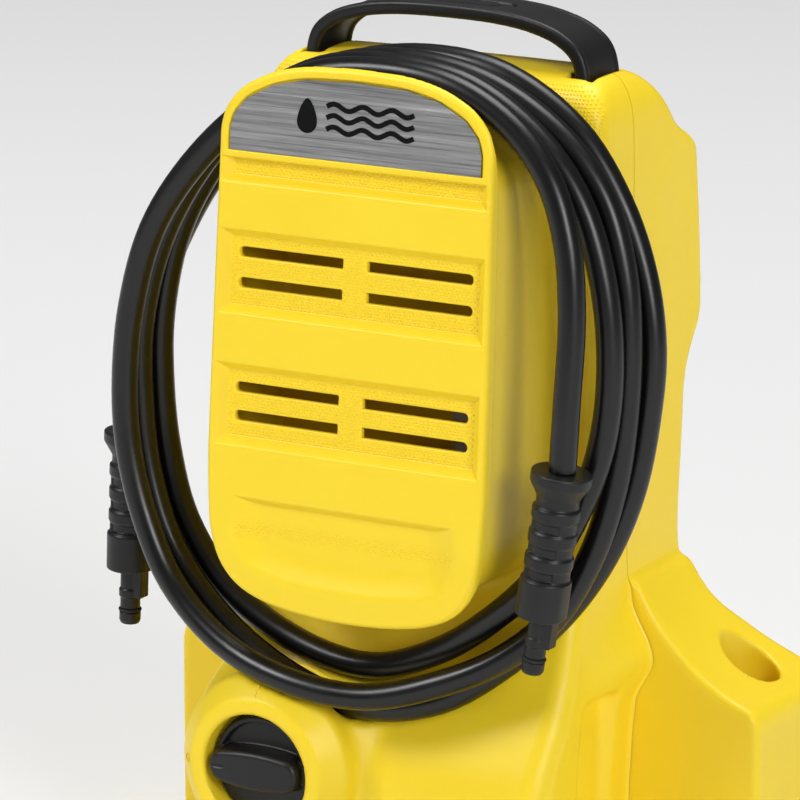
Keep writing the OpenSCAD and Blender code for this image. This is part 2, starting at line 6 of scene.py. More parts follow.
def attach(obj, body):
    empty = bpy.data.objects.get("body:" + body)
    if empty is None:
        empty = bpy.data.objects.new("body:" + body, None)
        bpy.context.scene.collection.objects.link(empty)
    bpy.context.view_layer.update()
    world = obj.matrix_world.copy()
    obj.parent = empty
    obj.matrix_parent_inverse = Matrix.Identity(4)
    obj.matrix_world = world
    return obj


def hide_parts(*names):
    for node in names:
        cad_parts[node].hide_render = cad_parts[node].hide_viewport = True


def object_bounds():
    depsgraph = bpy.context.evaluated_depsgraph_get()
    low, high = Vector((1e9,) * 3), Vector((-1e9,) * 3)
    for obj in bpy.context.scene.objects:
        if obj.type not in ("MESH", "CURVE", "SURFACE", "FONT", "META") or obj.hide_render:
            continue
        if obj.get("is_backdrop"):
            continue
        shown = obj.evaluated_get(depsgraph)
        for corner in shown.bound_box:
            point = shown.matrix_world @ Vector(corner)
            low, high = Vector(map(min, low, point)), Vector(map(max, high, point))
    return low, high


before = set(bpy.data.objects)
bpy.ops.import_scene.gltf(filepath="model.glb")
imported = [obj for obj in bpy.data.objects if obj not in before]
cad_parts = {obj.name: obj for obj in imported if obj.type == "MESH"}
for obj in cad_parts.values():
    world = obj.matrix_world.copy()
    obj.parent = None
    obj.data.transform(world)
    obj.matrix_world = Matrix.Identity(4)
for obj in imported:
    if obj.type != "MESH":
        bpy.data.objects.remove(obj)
CAD_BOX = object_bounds()
MM = 0.001
F = np.float32

# ------------------------------------------------------------------ helpers
def catmull(P, n, closed=False):
    P = np.array(P, float)
    Q = np.vstack([P[-1], P, P[0], P[1]]) if closed else np.vstack([2*P[0]-P[1], P, 2*P[-1]-P[-2]])
    out = []
    for i in range(1, len(Q)-2):
        p0, p1, p2, p3 = Q[i-1:i+3]
        a = max(np.linalg.norm(p1-p0), 1e-6)**.5; b = max(np.linalg.norm(p2-p1), 1e-6)**.5; c = max(np.linalg.norm(p3-p2), 1e-6)**.5
        m1 = (p1-p0)/a-(p2-p0)/(a+b)+(p2-p1)/b
        m2 = (p2-p1)/b-(p3-p1)/(b+c)+(p3-p2)/c
        m1, m2 = m1*b, m2*b
        for k in range(n):
            t = k/n
            out.append((2*t**3-3*t*t+1)*p1+(t**3-2*t*t+t)*m1+(-2*t**3+3*t*t)*p2+(t**3-t*t)*m2)
    if not closed: out.append(P[-1])
    return np.array(out)

def poly_sdf(p, X, Y):
    # signed distance to a closed outline, negative inside
    p = np.asarray(p, float); shp = X.shape
    x = X.ravel().astype(F); y = Y.ravel().astype(F)
    d = np.full(x.shape, 1e18, F); s = np.ones(x.shape, bool)
    n = len(p)
    for i in range(n):
        a = p[i]; b = p[(i+1) % n]
        ex, ey = b-a; wx = x-F(a[0]); wy = y-F(a[1])
        t = np.clip((wx*F(ex)+wy*F(ey))/F(ex*ex+ey*ey+1e-12), 0, 1)
        dx = wx-F(ex)*t; dy = wy-F(ey)*t
        d = np.minimum(d, dx*dx+dy*dy)
        c1 = y >= a[1]; c2 = y < b[1]; c3 = F(ex)*wy > F(ey)*wx
        s ^= (c1 & c2 & c3) | (~c1 & ~c2 & ~c3)
    d = np.sqrt(d)
    return np.where(s, d, -d).reshape(shp)

class Field2:
    # outline distance kept on a fine grid and read by interpolation
    def __init__(self, outline, h=0.6, pad=14):
        p = np.asarray(outline, float)
        self.o = p.min(0)-pad; self.h = h
        n = np.ceil((p.max(0)+pad-self.o)/h).astype(int)+1
        gx = self.o[0]+h*np.arange(n[0]); gy = self.o[1]+h*np.arange(n[1])
        X, Y = np.meshgrid(gx, gy, indexing="ij")
        self.v = poly_sdf(p, X, Y).astype(F); self.n = n
    def __call__(self, x, y):
        u = (x-F(self.o[0]))/F(self.h); v = (y-F(self.o[1]))/F(self.h)
        uc = np.clip(u, 0, self.n[0]-1.001); vc = np.clip(v, 0, self.n[1]-1.001)
        out = np.hypot(u-uc, v-vc)*F(self.h)
        i = uc.astype(np.int32); j = vc.astype(np.int32); fu = uc-i; fv = vc-j
        V = self.v
        r = (V[i, j]*(1-fu)+V[i+1, j]*fu)*(1-fv)+(V[i, j+1]*(1-fu)+V[i+1, j+1]*fu)*fv
        return r+out

def rmax(a, b, r):
    # intersection with a round fillet of radius r
    if np.isscalar(r) and r <= 0: return np.maximum(a, b)
    return np.minimum(np.maximum(a, b), -r)+np.hypot(np.maximum(a+r, 0), np.maximum(b+r, 0))
def rmin(a, b, r):
    return np.maximum(np.minimum(a, b), r)-np.hypot(np.maximum(r-a, 0), np.maximum(r-b, 0))
def cut(a, b, r=0):
    return rmax(a, -b, r)
def sst(x, a, b):
    t = np.clip((x-a)/(b-a), 0, 1)
    return t*t*(3-2*t)

def nets(fn, lo, hi, h, newton=2, chunk=None):
    # surface nets of fn(x,y,z) in mm, vertices pulled onto the surface
    lo = np.array(lo, float); hi = np.array(hi, float)
    n = np.ceil((hi-lo)/h).astype(int)+1
    ax = [(lo[i]+h*np.arange(n[i])).astype(F) for i in range(3)]
    v = np.empty(tuple(n), F)
    step = 24
    for k in range(0, n[0], step):
        X, Y, Z = np.meshgrid(ax[0][k:k+step], ax[1], ax[2], indexing="ij")
        v[k:k+step] = fn(X, Y, Z)
    s = v < 0
    cnt = np.zeros(tuple(n-1), np.int8)
    acc = np.zeros(tuple(n-1)+(3,), F)
    wgt = np.zeros(tuple(n-1), F)
    for d in range(3):
        o1, o2 = [q for q in range(3) if q != d]
        sl = lambda a, b: tuple(slice(a, None if b == 0 else b) if q == d else slice(None) for q in range(3))
        A = v[sl(0, -1)]; B = v[sl(1, 0)]
        cr = (A < 0) != (B < 0)
        t = np.where(cr, A/np.where(A == B, 1, A-B), 0).astype(F)
        for i in (0, 1):
            for j in (0, 1):
                ix = [slice(None)]*3
                ix[o1] = slice(i, None if i else -1); ix[o2] = slice(j, None if j else -1)
                c = cr[tuple(ix)]
                tt = t[tuple(ix)]
                wgt += c
                acc[..., d] += np.where(c, tt, 0)
                acc[..., o1] += np.where(c, i, 0); acc[..., o2] += np.where(c, j, 0)
    act = wgt > 0
    idx = np.full(tuple(n-1), -1, np.int64); m = int(act.sum()); idx[act] = np.arange(m)
    cell = np.argwhere(act).astype(F)
    P = lo+(cell+acc[act]/wgt[act][:, None])*h
    faces = []
    for d in range(3):
        o1, o2 = [(1, 2), (2, 0), (0, 1)][d]
        ia = [slice(1, -1)]*3; ia[d] = slice(0, -1); ib = [slice(1, -1)]*3; ib[d] = slice(1, None)
        A = s[tuple(ia)]; B = s[tuple(ib)]
        w = np.argwhere(A != B)
        if not len(w): continue
        flip = A[A != B]
        base = w.copy(); 
        for q in range(3):
            if q != d: base[:, q] += 1
        def g(a, b):
            c = base.copy(); c[:, o1] -= a; c[:, o2] -= b
            return idx[c[:, 0], c[:, 1], c[:, 2]]
        q4 = np.stack([g(1, 1), g(0, 1), g(0, 0), g(1, 0)], 1)
        q4[~flip] = q4[~flip][:, ::-1]
        faces.append(q4)
    Fc = np.vstack(faces)
    ok = (Fc >= 0).all(1); Fc = Fc[ok]
    e = F(h*0.25)
    P = P.astype(F)
    def grad(P):
        g = np.empty_like(P)
        for q in range(3):
            a = P.copy(); b = P.copy(); a[:, q] += e; b[:, q] -= e
            g[:, q] = (fn(a[:, 0], a[:, 1], a[:, 2])-fn(b[:, 0], b[:, 1], b[:, 2]))/(2*e)
        return g
    for _ in range(newton):
        g = grad(P); f = fn(P[:, 0], P[:, 1], P[:, 2])
        st = np.clip(f/np.maximum((g*g).sum(1), 0.2), -h*0.7, h*0.7)
        P = P-g*st[:, None]
    return P, Fc

def mesh_obj(name, V, Fc, smooth=True, scale=MM):
    me = bpy.data.meshes.new(name)
    V = np.asarray(V, np.float64)*scale; Fc = np.asarray(Fc)
    k = Fc.shape[1]
    me.vertices.add(len(V)); me.vertices.foreach_set("co", V.astype(np.float32).ravel())
    me.loops.add(len(Fc)*k); me.loops.foreach_set("vertex_index", Fc.astype(np.int32).ravel())
    me.polygons.add(len(Fc)); me.polygons.foreach_set("loop_start", np.arange(0, len(Fc)*k, k, dtype=np.int32))
    me.polygons.foreach_set("loop_total", np.full(len(Fc), k, np.int32))
    me.polygons.foreach_set("use_smooth", np.full(len(Fc), smooth))
    me.update(calc_edges=True); me.validate()
    o = bpy.data.objects.new(name, me); bpy.context.scene.collection.objects.link(o)
    return o

def sharp(o, deg=35):
    o.data.set_sharp_from_angle(angle=math.radians(deg))

def py_obj(name, verts, faces, smooth=True):
    me = bpy.data.meshes.new(name); me.from_pydata([tuple(v) for v in verts], [], faces); me.update()
    bm = bmesh.new(); bm.from_mesh(me); bmesh.ops.recalc_face_normals(bm, faces=bm.faces[:]); bm.to_mesh(me); bm.free()
    for p in me.polygons: p.use_smooth = smooth
    o = bpy.data.objects.new(name, me); bpy.context.scene.collection.objects.link(o)
    return o

# ------------------------------------------------------------------ route of the hose, mm
ROUTE = [[96,-81,224],[97.5,-80.5,252],[98,-78,285],[94,-75,314],[84,-72,338],[66,-69.4,356.5],[40,-68.4,369.5],[8,-68.2,373.2],[-26,-68.4,368.5],[-56,-69,351],[-82,-70.2,326],[-101,-70.4,298],[-111.5,-70.5,265],[-115.3,-70.5,232],[-113.8,-71,206],[-106,-72,177],[-91,-74,149.5],[-62.7,-78.8,128.2],[-26.4,-83.6,118.4],[6,-80.6,116.6],[34,-74.5,124],[60,-68,136.5],[81,-60,155.5],[95,-54.2,182],[103.5,-51.3,211],[107.6,-50.4,240],[108.5,-49.6,268],[105.5,-48,296],[95,-46,326],[77,-45.4,347.5],[46,-45.2,366],[12,-45.2,372.8],[-24,-45.3,369.5],[-58,-45.8,352],[-85,-46.2,324.5],[-103,-46.8,293],[-111.5,-47,258],[-112.5,-47,230],[-109,-47.8,200],[-99,-49.2,169.5],[-76,-51.3,142.5],[-42,-52.8,125.5],[-6,-55.5,121.5],[28,-59.5,134],[55,-63,152.5],[77,-65.2,174],[94,-63.8,203],[103.5,-62.3,231],[106.6,-61.6,262],[102.5,-60,295],[91,-58,325.5],[73,-57,348],[42,-56.8,367.5],[8,-56.8,373],[-28,-56.9,369],[-61,-57.5,350],[-87,-58.4,321.5],[-105,-58.7,289.5],[-114.5,-58.7,254],[-115.3,-58.7,224],[-110.5,-59.6,190],[-98,-61,160],[-72,-63,132.5],[-38,-64.5,114],[-4,-64.4,106.5],[30,-61.5,113.5],[58,-55,132.5],[79,-47.5,154],[95,-42.5,179],[106,-40.2,207],[111.6,-38.6,238],[113.2,-37.6,266],[108,-35.4,294],[96,-34.2,323],[76,-33.8,350],[44,-33.8,369],[8,-33.8,373.5],[-30,-33.8,366.5],[-64,-33.8,346.5],[-92,-34,318],[-112,-34.6,285],[-126,-35.4,250],[-132.6,-36,222],[-134,-36,201]]
HOSE_D = 11.2
HOSE = catmull(ROUTE, 6)

# ------------------------------------------------------------------ housing shells
SIDE = [[-72,7],[-75,12],[-74,40],[-68,82],[-57,105],[-46,124],[-38,150],[-22,166],[-19,176],[-19,352],[-15,362],[-7,368],[6,370],[12,370],[21,368],[30,363],[37.5,357],[44,350],[51,341],[57,337],[65,333],[70,329],[75,291],[77.5,264],[77,252],[70,242],[65.5,234],[63.5,226],[62.5,200],[61,182],[60.5,165],[61.5,146],[64.5,137],[71.5,128],[81,118],[86,106],[88,90],[88,14],[82,7]]
HALF = [[80,7],[83.5,12],[80.5,40],[79.3,60],[81,92],[82.5,104],[81.5,122],[80.5,142],[78.5,162],[79.2,240],[80,319],[79.6,345],[78.3,354.6],[75.1,361.8],[70.6,366.5],[64,368.6],[40,369.5],[0,370]]
WING = [[40,7],[136,7],[140,14],[140,98],[137,105],[126,109],[111,118],[97,132],[90.5,140.5],[87,146.5],[83,154],[40,154]]
WSIDE = [[-30,7],[82,7],[88,14],[88,90],[85,108],[76,122],[64,136],[60,160],[-30,160]]
COVER = [[0,148.4],[20,149.4],[38,152.4],[51,158],[59.5,168],[63.2,182],[64.8,208],[64.4,250],[63.6,300],[63,338],[63,347],[60.5,355],[53.5,363],[40,370],[24,373.6],[0,374.5]]
LIP = [[0,156],[20,157],[36,159.5],[48,164],[56.5,172],[61,184],[62.6,208],[62.2,250],[61.4,300],[61,331],[58.5,338.5],[52,345.5],[43,351.5],[31.5,356.5],[18,360.5],[0,362]]
POD = [[-40,8],[-71,8],[-73.5,14],[-75,50],[-75,84],[-73,97],[-68,104],[-60,106.5],[-40,104]]
def sym(p): return [list(q) for q in p]+[[-q[0], q[1]] for q in reversed(p) if abs(q[0]) > 0.01]
def soft(p, n=5, closed=True):
    # outline with its corners eased: points kept, curve run through them where they are close
    return catmull(p, n, closed)
def subdiv(p, r=3.0, k=5):
    # outline with every corner rounded by about r
    p = np.array(p, float); n = len(p); out = []
    for i in range(n):
        a, b, c = p[i-1], p[i], p[(i+1) % n]
        u = a-b; w = c-b; lu = np.linalg.norm(u); lw = np.linalg.norm(w)
        q = min(r, lu*0.49, lw*0.49)
        s = b+u/lu*q; e = b+w/lw*q
        for t in np.linspace(0, 1, k): out.append((1-t)**2*s+2*t*(1-t)*b+t*t*e)
    return np.array(out)
f_side = Field2(subdiv(SIDE, 9))
f_half = Field2(subdiv(sym(HALF), 9))
f_wing = Field2(subdiv(WING, 7))
f_wside = Field2(subdiv(WSIDE, 8))
f_cover = Field2(subdiv(sym(COVER), 9), 0.4)
f_lip = Field2(subdiv(sym(LIP), 9))
f_pod = Field2(subdiv(POD, 4))
LEAN = math.radians(4.07)
CL, SL = math.cos(LEAN), math.sin(LEAN)
def to_cover(x, y, z):
    # local cover frame: depth behind the face plane, height along it
    dy = y+79.6; dz = z-337
    return x, dy*CL-dz*SL, dy*SL+dz*CL
def from_cover(x, t, s):
    return x, -79.6+t*CL+s*SL, 337-t*SL+s*CL
KX, KZ = -43.0, 78.5

# the hose rests on the housing, so a slim trough is kept clear for it
_tro = [p for p in HOSE if p[2] < 175]
TRO = np.array(_tro, F)[::1]
def hose_clear(x, y, z, d, r):
    near = (d < 8) & (d > -18) & (z < 172) & (y < -30)
    if not near.any(): return d
    px = x[near]; py = y[near]; pz = z[near]
    best = np.full(px.shape, 1e9, F)
    for q in TRO:
        best = np.minimum(best, (px-q[0])**2+(py-q[1])**2+(pz-q[2])**2)
    best = np.sqrt(best)-F(r)
    d = d.copy(); d[near] = rmax(d[near], -best, 3.0)
    return d

def box3(x, y, z, c, h, r=0.0):
    qx = np.abs(x-F(c[0]))-F(h[0]-r); qy = np.abs(y-F(c[1]))-F(h[1]-r); qz = np.abs(z-F(c[2]))-F(h[2]-r)
    return np.sqrt(np.maximum(qx, 0)**2+np.maximum(qy, 0)**2+np.maximum(qz, 0)**2)+np.minimum(np.maximum(qx, np.maximum(qy, qz)), 0)-F(r)

def outer(x, y, z):
    # main housing
    rr = 7.0+4.0*sst(150-z, 0, 60)
    m = rmax(f_side(y, z), f_half(x, z), rr)
    # shoulder that swells out to the seam above the wings
    k = np.clip((y+38)/47, 0, 1); k = k*k*(3-2*k)
    bump = np.where(z > 122, 1-sst(z, 122, 147), 1-sst(122-z, 0, 20))
    m = m-np.where(y < 16, k, 1)*bump*8.5*sst(np.abs(x), 60, 78)*(z < 150)
    # bay block behind the cover
    _, t, s = to_cover(x, y, z)
    b = np.maximum(np.maximum(f_lip(x, z), 6.6-t), y+10)
    m = rmin(m, b, 8.0)
    # switch pod
    p = rmax(f_pod(y, z), np.abs(x+43)-39, 9.0)
    m = rmin(m, p, 12.0)
    # ring round the switch
    rho = np.hypot(x-KX, z-KZ)
    cone = rmax((rho-30.6-(y+88.6)*1.0)*0.7071, -88.6-y, 0.8)
    cone = np.maximum(cone, y+56)
    cone = rmax(cone, rho-40.2, 1.6)
    m = rmin(m, cone, 2.6)
    # wings
    w = rmax(rmax(f_wing(np.abs(x), z), f_wside(y, z), 6.0), 9.28-y, 3.0)
    m = rmin(m, w, 3.0)
    return m

def housing(x, y, z):
    m = outer(x, y, z)
    # recess on the front shell's sides
    g = np.minimum(box3(x, y, z, (86.5, -20.5, 50), (10.5, 14.5, 62), 7.0), box3(-x, y, z, (86.5, -20.5, 50), (10.5, 14.5, 62), 7.0))
    m = hose_clear(x, y, z, rmax(m, -g, 2.5), HOSE_D/2+0.7)
    body = m
    # the bay block is open to the cover
    _, t, s = to_cover(x, y, z)
    body = rmax(body, -rmax(f_lip(x, z)+2.6, t-50, 3.0), 0.8)
    # switch pocket
    rho = np.hypot(x-KX, z-KZ)
    body = rmax(body, -rmax(rho-24.5, y+75.6, 0.8), 0.9)
    # water fittings come through the front
    for cx, cz, r in ((58, 36, 16.6), (20, 36, 12.6), (20, 55, 8.4)):
        body = rmax(body, -np.maximum(np.hypot(x-cx, z-cz)-r, y+59), 1.2)
    # handle feet
    body = rmax(body, -box3(np.abs(x), y, z, (63, 8.3, 366), (5.6, 15.4, 12), 1.2), 1.0)
    # lance sockets in the wings
    body = rmax(body, -np.maximum(np.hypot(np.abs(x)-116, y-50)-12.5, 32.5-z), 1.2)
    # hole of the cable gland
    body = rmax(body, -np.maximum(np.hypot(x+30, z-60)-6.2, 60-y), 0.8)
    # rear louvres
    for i in range(6):
        body = rmax(body, -box3(x, y, z, (0, 78, 264+9*i), (40, 10, 2.1), 1.9), 0.8)
    # screw seats
    for sx, sz, sy in ((66, 22, 86.6), (120, 26, 86.6), (62, 215, 61.5)):
        q = np.hypot(np.abs(x)-sx, z-sz)
        body = rmax(body, -np.maximum(q-3.8, sy-y), 0.5); body = np.maximum(body, -np.maximum(q-2.1, sy-8-y))
    return body

# ------------------------------------------------------------------ hose holder cover
def strip_cut(x, t, s, z0, z1, zb0, zb1, depth, hw0=61.4, hw1=57.2):
    # recess between two bands: (z0..z1) at the floor, (zb0..zb1) at the face
    k = np.clip(t/depth, -0.6, 1.0)
    hw = hw0+(hw1-hw0)*k
    lo_ = zb0+(z0-zb0)*k; hi_ = zb1+(z1-zb1)*k
    e = np.maximum(np.maximum(np.abs(x)-hw, lo_-s), s-hi_)*0.75
    return np.maximum(e, t-depth)
STRIPS = [(327.4, 333.6, 324.2, 334.6, 3.6), (274, 302.2, 270.6, 305.4, 4.2), (220, 247.2, 216.4, 250.4, 4.2)]
SLOTZ = [295.6, 283.0, 240.0, 228.2]
DISH = subdiv([[-57,240],[-57,176],[-50,163],[-38,157.5],[-20,154.5],[0,153.8],[20,154.5],[38,157.5],[50,163],[57,176],[57,240]][::-1], 10)
f_dish = Field2(DISH, 0.5)
def dish_depth(x, s):
    d = -f_dish(x, s+337)
    w = sst(d, 0.0, 19.0)
    return 4.6*w
def cover(x, y, z):
    _, t, s = to_cover(x, y, z)
    o = f_cover(x, z)
    face = -t
    # the lowest part stands more upright, so the face ends at the front of the box
    face = np.maximum(face, F(-90.6)-y)
    d = rmax(o, face, 2.6)
    d = rmax(d, t-7.0, 1.6)
    # thin lip above the bay, in front of the hose
    tl = 2.7+4.3*sst(352-z, 0, 26)
    d = rmax(d, -np.maximum(tl-t, -f_lip(x, z)), 0.6)
    for z0, z1, b0, b1, dp in STRIPS:
        d = rmax(d, -strip_cut(x, t, s, z0-337, z1-337, b0-337, b1-337, dp), 0.35)
    # lower dish: deepest under the third band, running out to the rim below
    tf = np.maximum(t, (y+90.6))
    dd = dish_depth(x, s)
    e = np.maximum(tf-dd, s-(196.4-337)+np.clip(tf, 0, 4.6)*0.76)
    e = np.maximum(e, f_dish(x, np.minimum(s, 190-337)+337))
    d = rmax(d, -e, 0.6)
    # seat of the metal plate
    pl = np.maximum(o+4.4, -(s-0.2))
    d = rmax(d, -np.maximum(pl, t-1.6), 0.4)
    # hollow back
    d = np.maximum(d, -np.maximum(np.maximum(o+9, 8.4-t), t-20))
    # vent slots
    for zs in SLOTZ:
        for sg in (-1, 1):
            xx = x*sg
            q = np.where(xx > 52, np.hypot(xx-52.0, s-(zs-337))-2.15, np.maximum(np.abs(s-(zs-337))-2.15, 5.6-xx))
            d = rmax(d, -q, 0.35)
    return d

# ------------------------------------------------------------------ carry handle
HC = [[-63.3,358],[-63.3,366],[-60.4,374.4],[-52.6,380.6],[-41.2,384.6],[-26,387.0],[0,387.9],[26,387.0],[41.2,384.6],[52.6,380.6],[60.4,374.4],[63.3,366],[63.3,358]]
HCP = catmull(HC, 6)
f_arch = None
def arch_dist(x, z):
    global f_arch
    if f_arch is None:
        lo = np.array([-80, 345.]); h = 0.5; n = (321, 120)
        X, Z = np.meshgrid(lo[0]+h*np.arange(n[0]), lo[1]+h*np.arange(n[1]), indexing="ij")
        best = np.full(X.shape, 1e9)
        sgn = np.zeros(X.shape)
        for a, b in zip(HCP[:-1], HCP[1:]):
            e = b-a; w0 = X-a[0]; w1 = Z-a[1]
            t = np.clip((w0*e[0]+w1*e[1])/(e@e), 0, 1)
            dx = w0-e[0]*t; dz = w1-e[1]*t; dd = dx*dx+dz*dz
            c = e[0]*w1-e[1]*w0
            m = dd < best; best = np.where(m, dd, best); sgn = np.where(m, np.sign(c), sgn)
        f_arch = (lo, h, (np.sqrt(best)*np.where(sgn == 0, 1, sgn)).astype(F), n)
    lo, h, v, n = f_arch
    u = np.clip((x-F(lo[0]))/F(h), 0, n[0]-1.01); w = np.clip((z-F(lo[1]))/F(h), 0, n[1]-1.01)
    i = u.astype(np.int32); j = w.astype(np.int32); a = u-i; b = w-j
    return (v[i, j]*(1-a)+v[i+1, j]*a)*(1-b)+(v[i, j+1]*(1-a)+v[i+1, j+1]*a)*b
def handle(x, y, z):
    a = arch_dist(x, z)               # + outside the arch, - inside
    yy = np.abs(y-8.3)
    d = rmax(np.abs(a)-2.1, yy-14.3, 1.6)
    # rolled edges below
    lip = rmax(np.maximum(a-2.1, -a-3.2), np.abs(yy-13.1)-1.2, 1.0)
    d = rmin(d, lip, 1.5)
    d = rmax(d, 358.2-z, 0.6)
    # recessed grip zone on the crown
    st = np.hypot(np.maximum(np.abs(x)-19, 0), y-8.3)-5.8
    d = rmax(d, -np.maximum(st, 0.8-a), 0.8)
    return d
def grip_inlay(x, y, z):
    a = arch_dist(x, z)
    st = np.hypot(np.maximum(np.abs(x)-19, 0), y-8.3)-5.3
    d = rmax(st, np.abs(a-0.8)-0.45, 0.25)
    for yc in (-3.3, -1.1, 1.1, 3.3):
        r = rmax(np.hypot(np.maximum(np.abs(x)-(18.5-abs(yc)), 0), y-8.3-yc)-0.62, np.abs(a-1.5)-0.62, 0.4)
        d = rmin(d, r, 0.4)
    return d

# ------------------------------------------------------------------ switch knob
def knob(x, y, z):
    dx = x-KX; dz = z-KZ; rho = np.hypot(dx, dz)
    d = rmax(rho-23.5, np.maximum(y+76.7, -79.8-y), 0.8)
    # thin raised rim round the upper part of the disc
    rim = rmax(rmax(np.abs(rho-20.9)-1.25, np.maximum(y+78.5, -83.0-y), 0.8), -5.0-dz, 1.2)
    d = rmin(d, rim, 0.6)
    # leaf-shaped grip
    w = 6.4+2.6*np.clip(1-(dx/21)**2, 0, 1)
    gr = rmax(np.abs(dz)-w+0.10*(-(y+80)), np.abs(dx+1.0)-21.0, 5.0)
    gr = rmax(gr, -89.6-y+0.0015*(dx*dx), 2.2)
    gr = np.maximum(gr, y+78.4)
    d = rmin(d, gr, 1.0)
    d = rmax(d, rho-23.5, 0.6)
    # pointer notch towards the mark
    d = rmax(d, -box3(x, y, z, (KX-17, -90, KZ), (3.2, 1.4, 0.7), 0.3), 0.3)
    d = np.maximum(d, -np.maximum(rho-4.0, -78.2-y))
    return d

# ------------------------------------------------------------------ hose ends, local: z = 0 at the hose, running down
GRIP = [(12.3,0.0),(12.3,-4.4),(8.7,-10.6),(8.7,-14.0),(9.8,-14.8),(9.8,-19.2),(9.1,-20.0),(9.1,-24.2),(9.8,-25.0),(9.8,-29.4),(9.1,-30.3),(9.1,-34.2),(9.9,-35.1),(9.9,-39.4),(9.3,-40.3),(9.3,-44.2),(10.4,-45.0),(10.4,-61.0)]
f_grip = Field2(subdiv([[-r, z] for r, z in GRIP]+[[r, z] for r, z in reversed(GRIP)], 0.8), 0.25, 4)
def grip_fn(x, y, z):
    rho = np.hypot(x, y)
    d = f_grip(rho, z)
    # shallow pads let into every second ring, on two sides
    for zc in (-22.1, -32.2, -42.2):
        d = rmax(d, -rmax(np.maximum(np.abs(z-zc)-1.7, 8.4-rho), np.abs(np.abs(np.arctan2(y, x))-1.57)*9.0-6.5, 0.4), 0.3)
    # flats on the body
    d = rmax(d, np.where(z < -45.5, np.abs(x)-10.05, -5), 0.6)
    d = rmax(d, -np.maximum(rho-9.0, np.abs(z+61.2)-0.7), 0.4)
    return d
PLUG = [(5.6,-57.0),(5.6,-61.2),(4.3,-61.2),(4.3,-69.6),(4.95,-70.2),(4.95,-73.2),(4.3,-73.8),(4.3,-78.5),(3.7,-78.5),(3.7,-80.3),(4.6,-80.3),(4.6,-84.0),(3.9,-85.5)]
f_plug = Field2(subdiv([[-r, z] for r, z in PLUG]+[[r, z] for r, z in reversed(PLUG)], 0.35), 0.2, 4)
def plug_fn(x, y, z):
    rho = np.hypot(x, y)
    d = f_plug(rho, z)
    lug = box3(x, y, z, (4.9, 0, -67.2), (2.3, 3.2, 6.0), 0.5)
    d = rmin(d, lug, 0.5)
    # waist notches
    d = rmax(d, -box3(x, y, z, (-5.2, 0, -72), (1.6, 3.4, 1.1), 0.4), 0.3)
    return rmax(d, -(rho-2.1), 0.3)

# ------------------------------------------------------------------ materials
def srgb(r, g, b):
    f = lambda c: (c/255/12.92) if c/255 <= 0.04045 else ((c/255+0.055)/1.055)**2.4
    return (f(r), f(g), f(b), 1.0)

class Mat:
    def __init__(self, name):
        self.m = bpy.data.materials.new(name); self.m.use_nodes = True
        self.t = self.m.node_tree; self.t.nodes.clear()
        self.out = self.t.nodes.new("ShaderNodeOutputMaterial"); self.b = self.t.nodes.new("ShaderNodeBsdfPrincipled")
        self.t.links.new(self.b.outputs[0], self.out.inputs[0])
        self.tc = self.t.nodes.new("ShaderNodeTexCoord")
    def set(self, **k):
        for a, v in k.items(): self.b.inputs[a.replace("_", " ")].default_value = v
        return self
    def noise(self, scale, detail=3.0, rough=0.55, stretch=None, seed=0.0):
        src = self.tc.outputs["Object"]
        mp = self.t.nodes.new("ShaderNodeMapping"); mp.inputs["Location"].default_value = (seed, seed*0.7, -seed)
        if stretch: mp.inputs["Scale"].default_value = stretch
        self.t.links.new(src, mp.inputs[0])
        n = self.t.nodes.new("ShaderNodeTexNoise"); n.inputs["Scale"].default_value = scale; n.inputs["Detail"].default_value = detail; n.inputs["Roughness"].default_value = rough
        self.t.links.new(mp.outputs[0], n.inputs["Vector"])
        return n.outputs["Fac"]
    def ramp(self, fac, a, b, lo=0.3, hi=0.7):
        r = self.t.nodes.new("ShaderNodeValToRGB"); e = r.color_ramp.elements
        e[0].position = lo; e[1].position = hi; e[0].color = a; e[1].color = b
        self.t.links.new(fac, r.inputs[0]); return r.outputs[0]
    def rng(self, fac, a, b, lo=0.3, hi=0.7):
        r = self.t.nodes.new("ShaderNodeMapRange")
        for k, v in (("From Min", lo), ("From Max", hi), ("To Min", a), ("To Max", b)): r.inputs[k].default_value = v
        self.t.links.new(fac, r.inputs[0]); return r.outputs[0]
    def link(self, s, name): self.t.links.new(s, self.b.inputs[name]); return self
    def bump(self, fac, strength, dist, prev=None):
        n = self.t.nodes.new("ShaderNodeBump"); n.inputs["Strength"].default_value = strength; n.inputs["Distance"].default_value = dist
        self.t.links.new(fac, n.inputs["Height"])
        if prev is not None: self.t.links.new(prev, n.inputs["Normal"])
        return n.outputs[0]

def plastic(name, c1, c2, r0, r1, grain=1500, bump=0.12, coat=0.0, spec=0.4):
    k = Mat(name)
    big = k.noise(22, 4, 0.6); fine = k.noise(grain, 2, 0.5, seed=1.3)
    col = k.ramp(big, srgb(*c1), srgb(*c2), 0.25, 0.75)
    k.link(col, "Base Color")
    k.link(k.rng(k.noise(55, 5, 0.65, seed=2.1), r0, r1), "Roughness")
    k.link(k.bump(fine, bump, 0.00006), "Normal")
    k.set(Specular_IOR_Level=spec, Coat_Weight=coat)
    return k
def metal(name, c1, c2, r0, r1, scale=140, stretch=None, aniso=0.0, bump=0.08):
    k = Mat(name)
    n = k.noise(scale, 5, 0.6, stretch)
    k.link(k.ramp(n, srgb(*c1), srgb(*c2)), "Base Color"); k.link(k.rng(n, r0, r1), "Roughness")
    k.link(k.bump(k.noise(scale*4, 3, 0.6, stretch, seed=3.1), bump, 0.00005), "Normal")
    k.set(Metallic=1.0, Anisotropic=aniso)
    return k

